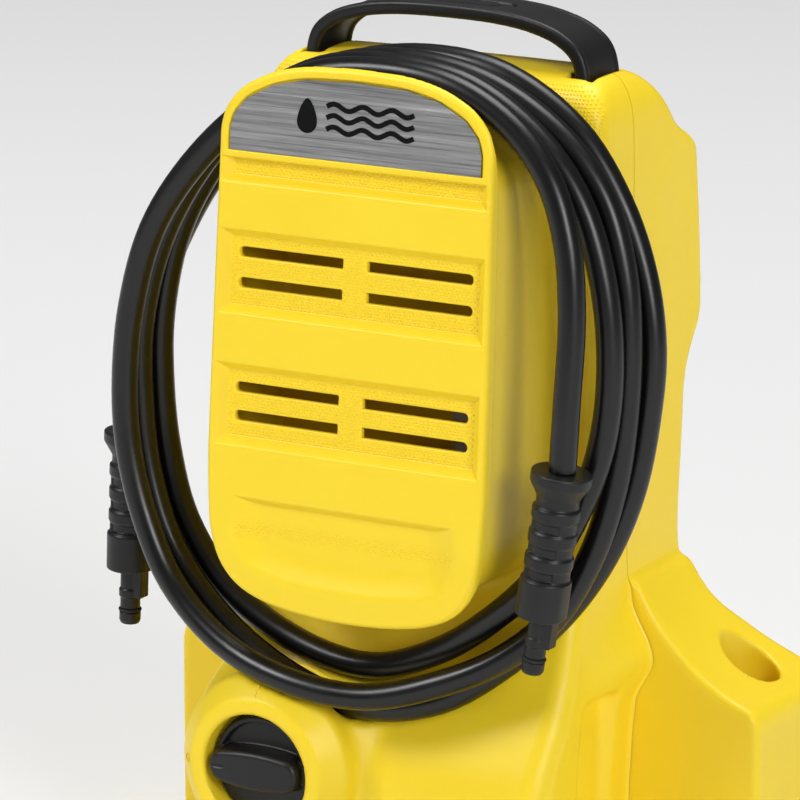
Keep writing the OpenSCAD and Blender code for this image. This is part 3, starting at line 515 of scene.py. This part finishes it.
M = {}
M["yellow_plastic"] = plastic("yellow_plastic", (250, 216, 38), (251, 220, 44), 0.36, 0.46, 1300, 0.10).set(Subsurface_Weight=0.0)
M["black_plastic"] = plastic("black_plastic", (18, 18, 19), (24, 24, 25), 0.36, 0.48, 1500, 0.16, spec=0.42)
M["soft_grip"] = plastic("soft_grip", (20, 20, 21), (27, 27, 28), 0.62, 0.74, 1900, 0.35, spec=0.3)
M["grey_plastic"] = plastic("grey_plastic", (148, 150, 153), (168, 170, 172), 0.45, 0.58, 1300, 0.2)
M["rubber"] = plastic("rubber", (28, 28, 29), (38, 38, 38), 0.62, 0.78, 900, 0.4)
M["hose_rubber"] = plastic("hose_rubber", (7, 7, 8), (11, 11, 12), 0.28, 0.36, 1100, 0.18, spec=0.48)
M["steel"] = metal("steel", (168, 170, 174), (198, 200, 203), 0.22, 0.36, 160, (1, 1, 8))
M["copper"] = metal("copper", (186, 104, 62), (222, 138, 90), 0.24, 0.38, 260, (1, 1, 14), bump=0.3)
M["cast_alloy"] = metal("cast_alloy", (150, 152, 155), (182, 184, 186), 0.48, 0.66, 420, bump=0.45)
# brushed metal plate: long fine scratches across
k = Mat("brushed_plate")
s1 = k.noise(1, 6, 0.72, (34, 400, 2100)); s2 = k.noise(1, 3, 0.6, (9, 200, 520), seed=4.2); s3 = k.noise(7, 2, 0.5, (1.4, 1, 1.5), seed=7.7)
mx = k.t.nodes.new("ShaderNodeMath"); mx.operation = "ADD"; k.t.links.new(s1, mx.inputs[0]); k.t.links.new(s2, mx.inputs[1])
hf = k.t.nodes.new("ShaderNodeMath"); hf.operation = "MULTIPLY"; hf.inputs[1].default_value = 0.5; k.t.links.new(mx.outputs[0], hf.inputs[0])
k.link(k.ramp(hf.outputs[0], srgb(122, 123, 124), srgb(212, 212, 212), 0.36, 0.64), "Base Color")
k.link(k.rng(s1, 0.26, 0.42), "Roughness")
k.link(k.bump(s1, 0.35, 0.00004), "Normal")
tan = k.t.nodes.new("ShaderNodeTangent"); tan.direction_type = "RADIAL"; tan.axis = "Z"
k.t.links.new(tan.outputs[0], k.b.inputs["Tangent"])
k.set(Metallic=1.0, Anisotropic=0.72, Anisotropic_Rotation=0.0)
M["brushed_plate"] = k
M["print_black"] = plastic("print_black", (8, 8, 9), (12, 12, 13), 0.5, 0.6, 1500, 0.05, spec=0.12)
M["varnish"] = plastic("varnish", (120, 46, 26), (150, 66, 36), 0.30, 0.40, 900, 0.1)
M["carbon"] = plastic("carbon", (40, 40, 42), (58, 58, 60), 0.55, 0.7, 2200, 0.5)
M["red_plastic"] = plastic("red_plastic", (176, 40, 30), (196, 52, 40), 0.42, 0.52, 1300, 0.15)

def paint(o, key):
    o.data.materials.clear(); o.data.materials.append(M[key].m)
    return o
def place(o, body, *nodes):
    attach(o, body)
    if nodes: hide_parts(*nodes)
    return o

# ------------------------------------------------------------------ housing meshes, split at the seam
V, Q = nets(housing, (-145, -93, 2.5), (145, 93, 374), 1.4)
# inner faces, one wall thickness inside
Vi_, Qi_ = nets(lambda x, y, z: housing(x, y, z)+2.6, (-145, -93, 2.5), (145, 93, 374), 3.0)
Q = np.vstack([Q, Qi_[:, ::-1]+len(V)]); V = np.vstack([V, Vi_]).astype(float)
def half_shell(name, co, no):
    o = mesh_obj(name, V, Q)
    bm = bmesh.new(); bm.from_mesh(o.data)
    r = bmesh.ops.bisect_plane(bm, geom=bm.verts[:]+bm.edges[:]+bm.faces[:], plane_co=(0, co*MM, 0), plane_no=(0, no, 0), clear_outer=True, dist=1e-7)
    ed = [e for e in bm.edges if e.is_boundary and all(abs(v.co.y-co*MM) < 1e-6 for v in e.verts)]
    if ed:
        nf = bmesh.ops.triangle_fill(bm, edges=ed, use_beauty=True, use_dissolve=False)["geom"]
        for f in nf:
            if isinstance(f, bmesh.types.BMFace): f.smooth = False
        for e in ed: e.smooth = False
    # loose islands far smaller than the shell are dropped
    seen = set(); isl = []
    for v0 in bm.verts:
        if v0 in seen: continue
        st = [v0]; seen.add(v0); comp = []
        while st:
            v = st.pop(); comp.append(v)
            for e in v.link_edges:
                w = e.other_vert(v)
                if w not in seen: seen.add(w); st.append(w)
        isl.append(comp)
    big = max(len(c) for c in isl)
    bmesh.ops.delete(bm, geom=[v for c in isl if len(c) < big*0.02 for v in c], context="VERTS")
    bm.normal_update(); bm.to_mesh(o.data); bm.free()
    return o
front = half_shell("front_housing", 8.72, 1)
rear = half_shell("rear_housing", 9.28, -1)
for o, n in ((front, "front_shell"), (rear, "rear_shell")):
    paint(o, "yellow_plastic"); place(o, "housing", n)

# ------------------------------------------------------------------ cover
Vc, Qc = nets(cover, (-68, -93, 146), (68, -62, 377), 0.65)
o = mesh_obj("cover_panel", Vc, Qc); paint(o, "yellow_plastic"); place(o, "housing", "hose_holder_cover")

# fine raised dots, each a low dome
def domes(name, pts, nrm, r, hgt, flat=1.0, seg=7):
    pts = np.array(pts, float); nrm = np.array(nrm, float); n = len(pts)
    nrm /= np.linalg.norm(nrm, axis=1)[:, None]
    up = np.array([0, 0, 1.0]); t1 = np.cross(nrm, up); t1 /= np.linalg.norm(t1, axis=1)[:, None]; t2 = np.cross(nrm, t1)
    ring = []
    for rr, hh in ((r, -0.10), (r*0.78, hgt*0.62)):
        for a in range(seg):
            c, s_ = math.cos(2*math.pi*a/seg), math.sin(2*math.pi*a/seg)
            ring.append(pts+t1*(rr*c)+t2*(rr*s_*flat)+nrm*hh)
    ring.append(pts+nrm*hgt)
    A = np.stack(ring, 1).reshape(-1, 3); k = 2*seg+1
    quads = [[a, (a+1) % seg, seg+(a+1) % seg, seg+a] for a in range(seg)]
    tris = [[seg+a, seg+(a+1) % seg, 2*seg] for a in range(seg)]
    base = np.arange(n)[:, None, None]*k
    q = (np.array(quads)[None]+base).reshape(-1, 4); t = (np.array(tris)[None]+base).reshape(-1, 3)
    me = bpy.data.meshes.new(name)
    loops = np.concatenate([q.ravel(), t.ravel()]).astype(np.int32)
    st = np.concatenate([np.arange(len(q))*4, len(q)*4+np.arange(len(t))*3]).astype(np.int32); tot = np.concatenate([np.full(len(q), 4), np.full(len(t), 3)]).astype(np.int32)
    me.vertices.add(len(A)); me.vertices.foreach_set("co", (A*MM).astype(np.float32).ravel())
    me.loops.add(len(loops)); me.loops.foreach_set("vertex_index", loops)
    me.polygons.add(len(tot)); me.polygons.foreach_set("loop_start", st); me.polygons.foreach_set("loop_total", tot)
    me.polygons.foreach_set("use_smooth", np.ones(len(tot), bool)); me.update(calc_edges=True)
    bm = bmesh.new(); bm.from_mesh(me); bmesh.ops.recalc_face_normals(bm, faces=bm.faces[:]); bm.to_mesh(me); bm.free()
    o = bpy.data.objects.new(name, me); bpy.context.scene.collection.objects.link(o)
    return o

def grid(x0, x1, z0, z1, p, q=None, stagger=True):
    q = q or p*0.866; out = []
    j = 0; z = z0
    while z <= z1:
        xs = np.arange(x0+(p/2 if (stagger and j % 2) else 0), x1, p)
        out.append(np.stack([xs, np.full(len(xs), z)], 1)); z += q; j += 1
    return np.vstack(out)
def on_cover():
    P, N = [], []
    n_face = np.array(from_cover(0, -1, 0))-np.array(from_cover(0, 0, 0))
    for z0, z1, b0, b1, dp in STRIPS:
        g = grid(-56.6, 56.6, z0+0.6, z1-0.6, 2.0, 1.25)
        for x, z in g:
            if any(abs(z-zs) < 2.9 and 5.0 < abs(x) < 55.2 for zs in SLOTZ): continue
            P.append(from_cover(x, dp, z-337)); N.append(n_face)
    g = grid(-56, 56, 170.0, 192.2, 2.0, 1.25)
    s_ = (g[:, 1]-337).astype(F); dd = dish_depth(g[:, 0].astype(F), s_)
    for (x, z), s1, d1 in zip(g, s_, dd):
        if d1 < 1.2: continue
        p = np.array(from_cover(x, d1, s1)); p[1] = max(p[1], -90.6+d1)
        P.append(tuple(p)); N.append(n_face)
    return P, N
P, N = on_cover()
o = domes("cover_dots", P, N, 0.62, 0.42, 0.75, 7); paint(o, "yellow_plastic"); place(o, "housing")

# dots on the wall behind the hose, wrapped over its rounded upper edge
g = grid(-79, 79, 288, 369, 1.55, 1.45, False)
x = g[:, 0].astype(F); z = g[:, 1].astype(F); y = np.full(len(g), -30.0, F)
for _ in range(60):
    d = outer(x, y, z); y = y+np.clip(d, -1, 2).astype(F)*0.8
e = F(0.3)
gx = outer(x+e, y, z)-outer(x-e, y, z); gy = outer(x, y+e, z)-outer(x, y-e, z); gz = outer(x, y, z+e)-outer(x, y, z-e)
ok = (np.abs(outer(x, y, z)) < 0.1) & (y > -19.6) & (y < -11.5) & (np.abs(gx) < 1.4*e*2)
inside = (f_lip(x, z) < 2.0)
nn = np.stack([gx, gy, gz], 1); ok &= ~inside & (np.linalg.norm(nn, axis=1) > 0.1) & (nn[:, 1] < -0.28*2*e)
o = domes("wall_dots", np.stack([x, y, z], 1)[ok], nn[ok], 0.52, 0.36, 1.0, 7); paint(o, "yellow_plastic"); place(o, "housing")

# ------------------------------------------------------------------ emblem on the plate: a drop and three waves, in raised black print
def tube_on_cover(pts, w, hgt, t0, close=False):
    # flat ribbon with eased edges, laid on the plate: points are (x, z)
    p = np.array(pts, float); n = len(p)
    tg = np.gradient(p, axis=0); tg /= np.linalg.norm(tg, axis=1)[:, None]; nr = np.stack([-tg[:, 1], tg[:, 0]], 1)
    prof = [(-w/2, 0.05), (-w/2, -hgt*0.6), (-w/2+0.12, -hgt), (w/2-0.12, -hgt), (w/2, -hgt*0.6), (w/2, 0.05)]
    vs, fs = [], []
    for i in range(n):
        for a, b in prof:
            q = p[i]+nr[i]*a; vs.append(np.array(from_cover(q[0], t0+b, q[1]-337))*MM)
    m = len(prof)
    for i in range(n-1):
        for j in range(m): fs.append((i*m+j, i*m+(j+1) % m, (i+1)*m+(j+1) % m, (i+1)*m+j))
    fs.append(tuple(range(m))); fs.append(tuple((n-1)*m+j for j in range(m))[::-1])
    return vs, fs
parts_v, parts_f = [], []
def add(vs, fs):
    b = len(parts_v); parts_v.extend(vs); parts_f.extend([tuple(i+b for i in f) for f in fs])
for kz in (0, 1, 2):
    xs = np.linspace(-13, 27, 81); add(*tube_on_cover([(x_, 352.6+kz*4.6-3.0+1.15*math.sin((x_+13)/40*2*math.pi*3)) for x_ in xs], 2.1, 0.18, 0.30))
# solid drop
dr = []
for a in np.linspace(0, 2*math.pi, 49)[:-1]:
    r_ = 4.6; xx = r_*math.sin(a); zz = -r_*math.cos(a)
    if zz > 0: zz = zz*2.05; xx = xx*(1-(zz/(2.05*r_))**1.6*0.35) if zz < 2.05*r_ else 0
    dr.append((-22+xx, 351.8+zz))
vs = [np.array(from_cover(a, 0.35, b-337))*MM for a, b in dr]+[np.array(from_cover(a, 0.12, b-337))*MM for a, b in dr]
nD = len(dr); add(vs, [tuple(range(nD))[::-1], tuple(range(nD, 2*nD))]+[(i, (i+1) % nD, nD+(i+1) % nD, nD+i) for i in range(nD)])
o = py_obj("plate_emblem", parts_v, parts_f, False); paint(o, "print_black"); place(o, "housing")

# ------------------------------------------------------------------ handle, knob, hose and its ends
Vh, Qh = nets(handle, (-69, -8, 356), (69, 25, 392), 0.7)
o = mesh_obj("carry_strap", Vh, Qh); paint(o, "black_plastic"); place(o, "housing", "carry_handle")
Vi, Qi = nets(grip_inlay, (-27, 1, 383), (27, 16, 392), 0.35)
o = mesh_obj("strap_grip", Vi, Qi); paint(o, "soft_grip"); place(o, "housing", "handle_grip_inlay")
Vk, Qk = nets(knob, (-68, -91, 53), (-18, -75, 104), 0.45)
o = mesh_obj("rotary_knob", Vk, Qk); paint(o, "black_plastic"); place(o, "knob", "switch_knob")

cu = bpy.data.curves.new("hose_line", "CURVE"); cu.dimensions = "3D"; cu.bevel_depth = HOSE_D/2*MM; cu.bevel_resolution = 8; cu.use_fill_caps = True
sp = cu.splines.new("POLY"); sp.points.add(len(HOSE)-1)
for i, q in enumerate(HOSE): sp.points[i].co = (q[0]*MM, q[1]*MM, q[2]*MM, 1)
sp.use_smooth = True
hose = bpy.data.objects.new("pressure_hose", cu); bpy.context.scene.collection.objects.link(hose)
hose.data.materials.append(M["hose_rubber"].m); place(hose, "housing", "hose")

Vg, Qg = nets(grip_fn, (-14, -14, -63), (14, 14, 2), 0.45)
Vp, Qp = nets(plug_fn, (-7, -7, -87), (9, 7, -56), 0.3)
def oring():
    vs, fs = [], []; n, m = 48, 10
    for i in range(n):
        a = 2*math.pi*i/n
        for j in range(m):
            b = 2*math.pi*j/m; r_ = 4.15+0.85*math.cos(b); vs.append((r_*math.cos(a), r_*math.sin(a), -79.4+0.8*math.sin(b)))
    for i in range(n):
        for j in range(m): fs.append((i*m+j, ((i+1) % n)*m+j, ((i+1) % n)*m+(j+1) % m, i*m+(j+1) % m))
    return vs, fs
def at_end(V, c, deg, dz):
    a = math.radians(deg); V = np.array(V, float).copy(); V[:, 2] += dz
    x_, z_ = V[:, 0]*math.cos(a)+V[:, 2]*math.sin(a), -V[:, 0]*math.sin(a)+V[:, 2]*math.cos(a)
    return np.stack([x_+c[0], V[:, 1]+c[1], z_+c[2]], 1)
ends = []
for tag, c, deg, dz in (("front", (96, -81, 224), 8.7, -0.35), ("rear", (-134, -36, 201), 2.0, -0.2)):
    a = mesh_obj("hose_end_%s_grip" % tag, at_end(Vg, c, deg, dz), Qg); paint(a, "black_plastic"); place(a, "housing", "hose_grip_"+tag)
    b = mesh_obj("hose_end_%s_plug" % tag, at_end(Vp, c, deg, dz), Qp); paint(b, "black_plastic"); place(b, "housing", "hose_plug_"+tag)
    ov, of_ = oring(); ov = at_end(ov, c, deg, dz)*MM
    r = py_obj("hose_end_%s_oring" % tag, ov, of_); paint(r, "rubber"); place(r, "housing", "hose_oring_"+tag)
    ends += [a, b, r]

# ------------------------------------------------------------------ small marks round the switch, raised in the same plastic
def bar_mark(name, pts, w, hgt):
    # pts: centreline on the housing front, (x, z); the depth is found on the housing
    p = np.array(pts, float); n = len(p)
    tg = np.gradient(p, axis=0); tg /= np.linalg.norm(tg, axis=1)[:, None]; nr = np.stack([-tg[:, 1], tg[:, 0]], 1)
    vs, fs = [], []
    prof = [(-w/2, 0.25), (-w/4, -hgt), (w/4, -hgt), (w/2, 0.25)]
    for i in range(n):
        for a, b in prof:
            q = p[i]+nr[i]*a; yy = np.array([-95.0], F); xx = np.array([q[0]], F); zz = np.array([q[1]], F)
            for _ in range(50): yy = yy+np.clip(outer(xx, yy, zz), -1, 2).astype(F)*0.8
            vs.append((q[0]*MM, (float(yy[0])+b)*MM, q[1]*MM))
    m = len(prof)
    for i in range(n-1):
        for j in range(m-1): fs.append((i*m+j, i*m+j+1, (i+1)*m+j+1, (i+1)*m+j))
        fs.append((i*m+m-1, i*m, (i+1)*m, (i+1)*m+m-1))
    fs.append(tuple(range(m))); fs.append(tuple((n-1)*m+j for j in range(m))[::-1])
    o = py_obj(name, vs, fs, False); paint(o, "yellow_plastic"); place(o, "housing"); return o
bar_mark("switch_mark_line", [(KX-0.2, KZ+32.4), (KX-0.2, KZ+34), (KX-0.2, KZ+36.2)], 0.9, 0.6)
bar_mark("switch_mark_ring", [(KX-34.2+1.7*math.cos(a), KZ+1.7*math.sin(a)) for a in np.linspace(0, 2*math.pi, 25)], 0.9, 0.6)

# ------------------------------------------------------------------ carried-over CAD parts get a full material each
NODE_MAT = {
 "trim_plate": "brushed_plate", "housing_screws": "steel", "feet": "rubber", "cable_gland": "rubber", "knob_seal": "rubber", "switch_cam_shaft": "grey_plastic",
 "microswitch": "black_plastic", "switch_plunger": "red_plastic", "stator_core": "steel", "stator_windings": "copper", "motor_top_bracket": "cast_alloy", "motor_fan_cowl": "black_plastic",
 "upper_bearing": "steel", "lower_bearing": "steel", "motor_shaft": "steel", "armature_core": "steel", "armature_windings": "varnish", "commutator": "copper", "cooling_fan": "black_plastic",
 "motor_pinion": "steel", "brush_holders": "black_plastic", "carbon_brushes": "carbon", "brush_springs": "steel", "capacitor": "grey_plastic", "gear_housing": "cast_alloy", "drive_gear": "steel",
 "swash_plate": "steel", "swash_bearing": "steel", "cylinder_block": "cast_alloy", "pistons": "steel", "piston_springs": "steel", "piston_seals": "rubber", "pump_head": "cast_alloy",
 "inlet_valves": "grey_plastic", "outlet_valve": "steel", "pump_bolts": "steel", "pressure_rod": "steel", "pressure_rod_spring": "steel", "pressure_switch": "black_plastic",
 "water_inlet": "black_plastic", "inlet_filter": "grey_plastic", "inlet_oring": "rubber", "pressure_outlet": "black_plastic", "outlet_release_button": "grey_plastic"}
BEVEL = {"trim_plate": 0.25, "feet": 0.6, "cable_gland": 0.5, "water_inlet": 0.35, "pressure_outlet": 0.5, "outlet_release_button": 0.6, "housing_screws": 0.2}
for n, m in NODE_MAT.items():
    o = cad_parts[n]
    if len(o.material_slots) == 0: o.data.materials.append(M[m].m)
    for s_ in o.material_slots: s_.material = M[m].m
    if n in BEVEL:
        b = o.modifiers.new("edge", "BEVEL"); b.width = BEVEL[n]*MM; b.segments = 2; b.limit_method = "ANGLE"; b.angle_limit = math.radians(40); b.harden_normals = False

# ------------------------------------------------------------------ floor, light, camera
fl = Mat("floor_pale"); nz = fl.noise(0.8, 3, 0.5)
fl.link(fl.ramp(nz, srgb(224, 224, 224), srgb(225, 225, 225)), "Base Color"); fl.set(Roughness=0.9, Specular_IOR_Level=0.2)
bpy.ops.mesh.primitive_plane_add(size=30, location=(0, 0, 0)); floor = bpy.context.object; floor.name = "studio_floor"; floor.data.materials.append(fl.m)
floor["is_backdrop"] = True
w = bpy.data.worlds.new("studio"); bpy.context.scene.world = w; w.use_nodes = True
bg = w.node_tree.nodes["Background"]; bg.inputs[0].default_value = (1.0, 1.0, 1.0, 1.0); bg.inputs[1].default_value = 0.13
def area(name, loc, target, size, power, col=(1, 1, 1)):
    l = bpy.data.lights.new(name, "AREA"); l.shape = "RECTANGLE"; l.size = size[0]; l.size_y = size[1]; l.energy = power; l.color = col
    o = bpy.data.objects.new(name, l); bpy.context.scene.collection.objects.link(o); o.location = loc
    o.rotation_euler = (Vector(target)-Vector(loc)).to_track_quat("-Z", "Y").to_euler(); o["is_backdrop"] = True; return o
area("key_soft", (-3.4, -4.0, 4.6), (0, 0, 0.2), (2.2, 2.2), 222)
area("top_soft", (0.2, 1.0, 5.6), (0, 0, 0.2), (3.4, 3.4), 232)
area("right_soft", (4.8, -3.2, 2.6), (0, 0, 0.25), (2.0, 2.4), 174)

az, el, D = math.radians(29.9), math.radians(14.2), 2.103
tgt = Vector((-0.0294, 0.009, 0.2172))
cd = bpy.data.cameras.new("photo_camera"); cam = bpy.data.objects.new("photo_camera", cd); bpy.context.scene.collection.objects.link(cam)
cam.location = tgt+Vector((math.sin(az)*math.cos(el), -math.cos(az)*math.cos(el), math.sin(el)))*D
cam.rotation_euler = (tgt-cam.location).to_track_quat("-Z", "Y").to_euler()
cd.lens = 225; cd.sensor_width = 36; cd.clip_end = 60; cd.dof.use_dof = False
bpy.context.scene.camera = cam
vs = bpy.context.scene.view_settings; vs.view_transform = "Standard"; vs.look = "None"

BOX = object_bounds()
as_list = lambda b: [[float(v) for v in b[0]], [float(v) for v in b[1]]]
{"cad_box": as_list(CAD_BOX), "visual_box": as_list(BOX)}
